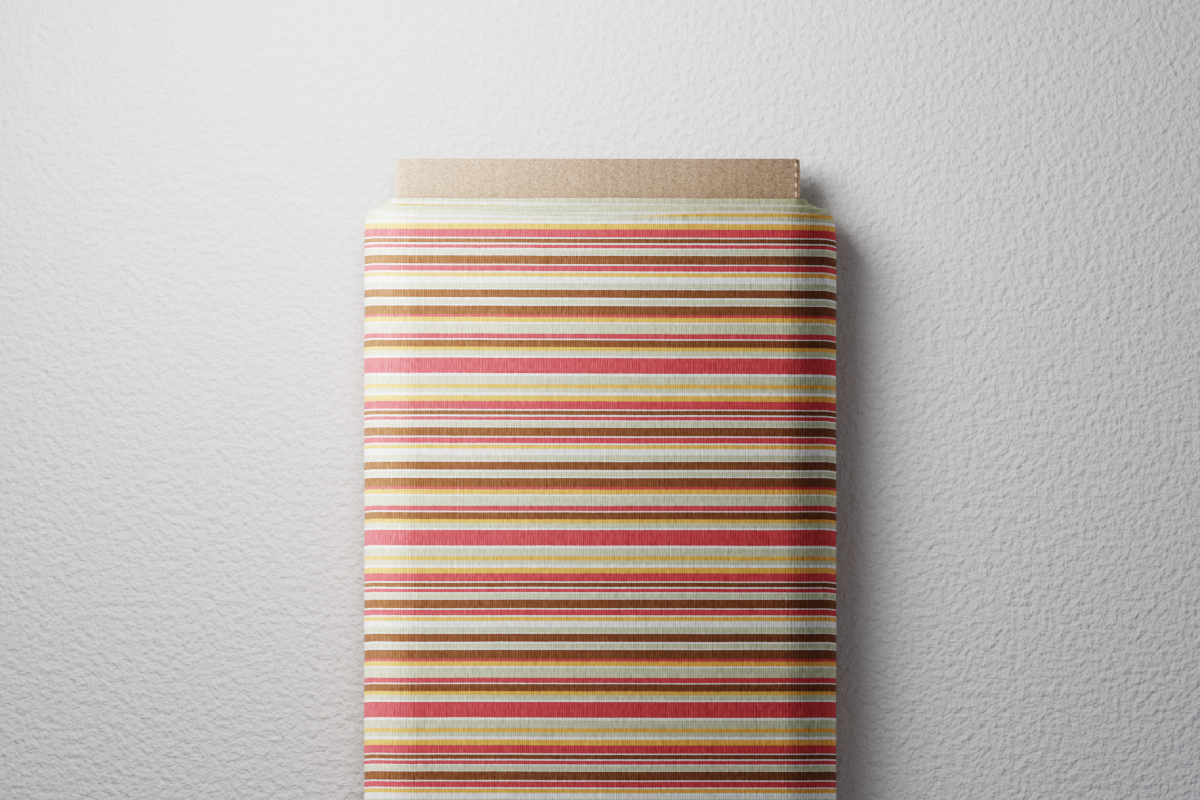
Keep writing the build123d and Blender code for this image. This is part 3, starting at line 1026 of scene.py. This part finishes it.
for end_name, sign in (("top", 1), ("bottom", -1)):

    def mirrored(outline):
        """The outline for this end, ordered so that its faces look outward."""
        return [(sign * y, z, sign * ny, nz) for y, z, ny, nz in outline][::sign]

    fold_paper(
        f"{end_name}_flap_fold", mirrored(flap_outline()), x_from=-102.9, x_to=98.7,
        material=KRAFT_OUT, seed=61 + sign,
    )
    fold_paper(
        f"{end_name}_lip_fold", mirrored(lip_outline()), x_from=-98.55, x_to=96.25,
        material=KRAFT_FLAP, seed=65 + sign,
    )

CREASE_X = 99.18  # the broken crease, where the fibres are rooted


def fibres(name, y_from, y_to, seed):
    """Torn fibres where the perforated crease has broken."""
    rng = np.random.RandomState(seed)
    verts, faces = [], []
    steps = 15
    t = np.linspace(0, 1, steps)
    first = int(math.floor((y_from - PERF_START) / PERF_PITCH)) - 1
    for i in range(first, first + int((y_to - y_from) / PERF_PITCH) + 4):
        y0 = PERF_START + i * PERF_PITCH + rng.uniform(-0.15, 0.15)
        y1 = y0 + 2.75 + rng.uniform(-0.3, 0.25)
        if y0 < y_from or y1 > y_to:
            continue
        bow = np.sin(math.pi * t)
        width = 1.45 * bow**0.6 * (0.75 + 0.35 * rng.uniform(-1, 1, steps)) + 0.05
        inner = 99.06 - width + 0.175 * (0.5 - t)
        curl = 0.10 + 0.38 * bow * (0.7 + 0.3 * rng.uniform(-1, 1, steps))
        base = len(verts)
        for x, y, rise in zip(inner, np.linspace(y0, y1, steps), curl):
            middle_y = y + rng.uniform(-0.05, 0.05)
            verts += [
                (CREASE_X, y, FRONT_Z + rise),
                ((CREASE_X + x) / 2, middle_y, 35.03 + rise * 0.75),
                (x, y, 35.01),
                (99.12, y, 34.9 + rise * 0.5),
            ]
        for a in range(base, base + 4 * (steps - 1), 4):
            b = a + 4
            faces += [
                (a, a + 1, b + 1, b), (a + 1, a + 2, b + 2, b + 1), (a + 3, a, b, b + 3)
            ]
    ob = add_mesh(name, verts, faces, FIBRE)
    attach(ob, "core_and_winding")


fibres("crease_fibres_top", y_from=284.9, y_to=303.6, seed=71)
fibres("crease_fibres_bottom", y_from=-303.6, y_to=-285.0, seed=72)


# ------------------------------------------------------------------ stage
def floor_material():
    """Grained floor that glows brighter with distance from the bolt."""
    net = Net("stage_floor")
    position = net.position()
    grain = net.noise(position, scale=260.0, detail=3.0, rough=0.55)
    net.bump(grain, strength=0.9, distance=0.0022)
    x, y, _ = net.split(position)
    # the unlit patch is a rectangle that narrows towards -y
    lower = net.div(net.sub(-0.04, y), 0.22, clamp=True)
    side = net.sub(0.308, net.mul(net.mul(lower, lower), 0.09))
    past_x = net.math("MAXIMUM", net.sub(net.math("ABSOLUTE", x), side))
    past_y = net.math("MAXIMUM", net.sub(y, 0.388), net.sub(-0.35, y))
    past_y = net.math("MAXIMUM", past_y)
    away = net.math("SQRT", net.add(net.mul(past_x, past_x), net.mul(past_y, past_y)))
    away = net.math("SMOOTH_MIN", net.mul(away, 4.6), 1.0, 0.6)
    away = net.mul(net.add(away, 0.04), net.div(away, net.add(away, 0.12)))
    net.surface({
        "Base Color": (0.69, 0.69, 0.695, 1),
        "Roughness": 0.85,
        "Emission Color": (0.97, 0.98, 1.0, 1),
        "Emission Strength": net.mul(away, 0.74),
    })
    return net.material


floor_mesh = bpy.data.meshes.new("stage_floor")
floor_corners = [(-40, -40, 0), (40, -40, 0), (40, 40, 0), (-40, 40, 0)]
floor_mesh.from_pydata(floor_corners, [], [(0, 1, 2, 3)])
floor_mesh.materials.append(floor_material())
floor = bpy.data.objects.new("stage_floor", floor_mesh)
floor.location.z = -0.0002
bpy.context.scene.collection.objects.link(floor)


def area(name, position, target, size, power, floor_link=None):
    """Area light. floor_link EXCLUDE leaves the floor out, INCLUDE lights nothing else."""
    data = bpy.data.lights.new(name, "AREA")
    data.shape = "RECTANGLE"
    data.size, data.size_y = size
    data.energy = power
    light = bpy.data.objects.new(name, data)
    bpy.context.scene.collection.objects.link(light)
    light.location = position
    light.rotation_mode = "QUATERNION"
    aim = Vector(target) - Vector(position)
    light.rotation_quaternion = aim.to_track_quat("-Z", "Y")
    light.visible_camera = False
    if floor_link:
        group = bpy.data.collections.new(name + "_receivers")
        group.objects.link(floor)
        group.collection_objects[0].light_linking.link_state = floor_link
        light.light_linking.receiver_collection = group
    return light


area(
    "key_left", position=(-0.192, 0.239, 0.143), target=(0.03, 0.10, 0.03),
    size=(0.45, 0.22), power=1.43, floor_link="EXCLUDE",
)
area(
    "floor_soft", position=(-0.15, 0.42, 0.345), target=(0.02, 0.15, 0.0),
    size=(0.28, 0.28), power=2.45, floor_link="INCLUDE",
)
low_soft = area(
    "low_soft", position=(-0.10, -0.70, 0.70), target=(-0.08, -0.68, 0.0),
    size=(0.55, 0.40), power=2.5, floor_link="EXCLUDE",
)
low_soft.data.spread = math.radians(62)
# shines up from beneath the floor, which therefore must not block it
bounce = area(
    "bounce_right", position=(0.185, 0.0, -0.045), target=(0.112, 0.0, 0.012),
    size=(0.72, 0.05), power=0.022, floor_link="EXCLUDE",
)
bounce.light_linking.blocker_collection = bounce.light_linking.receiver_collection
# falls only on the board and on the ends of the inner turns at -y
end_fill = area(
    "end_fill", position=(0.10, -1.0, 0.16), target=(0.0, -0.30, 0.03),
    size=(0.6, 0.2), power=0.75,
)
low_end = bpy.data.collections.new("low_end_receivers")
LOW_END_PREFIXES = ("bottom_", "core_", "web_")
LOW_END_NAMES = ("end_label", "cloth_inner_turns_bottom", "crease_fibres_bottom")
for ob in bpy.data.objects:
    listed = ob.name.startswith(LOW_END_PREFIXES) or ob.name in LOW_END_NAMES
    if ob.type == "MESH" and listed:
        low_end.objects.link(ob)
end_fill.light_linking.receiver_collection = low_end


def studio_world():
    """Dim sky for lighting; the camera sees a bright backdrop beyond the floor."""
    world = bpy.data.worlds.new("studio")
    bpy.context.scene.world = world
    world.use_nodes = True
    nodes, links = world.node_tree.nodes, world.node_tree.links
    sky = nodes["Background"]
    backdrop = nodes.new("ShaderNodeBackground")
    for background, colour, strength in (
        (sky, (0.93, 0.95, 1.0, 1), 0.198),
        (backdrop, (1.0, 1.0, 1.0, 1), 0.95),
    ):
        background.inputs["Color"].default_value = colour
        background.inputs["Strength"].default_value = strength
    either = nodes.new("ShaderNodeMixShader")
    path = nodes.new("ShaderNodeLightPath")
    links.new(path.outputs["Is Camera Ray"], either.inputs[0])
    links.new(sky.outputs[0], either.inputs[1])
    links.new(backdrop.outputs[0], either.inputs[2])
    links.new(either.outputs[0], nodes["World Output"].inputs[0])


studio_world()

CAMERA_HEIGHT = 10.0
FOCUS_Z = 0.045  # height at which the view is VIEW_WIDTH wide
VIEW_WIDTH = 0.60204
camera_data = bpy.data.cameras.new("camera")
camera = bpy.data.objects.new("camera", camera_data)
bpy.context.scene.collection.objects.link(camera)
camera_data.sensor_width = 36.0
camera_data.lens = camera_data.sensor_width * (CAMERA_HEIGHT - FOCUS_Z) / VIEW_WIDTH
camera.location = (0.0, 0.18363945, CAMERA_HEIGHT)  # straight above, looking down
camera.rotation_euler = (0, 0, 0)
camera_data.clip_start, camera_data.clip_end = 0.1, 60
bpy.context.scene.camera = camera
bpy.context.scene.view_settings.view_transform = "Filmic"
bpy.context.scene.view_settings.look = "Very High Contrast"
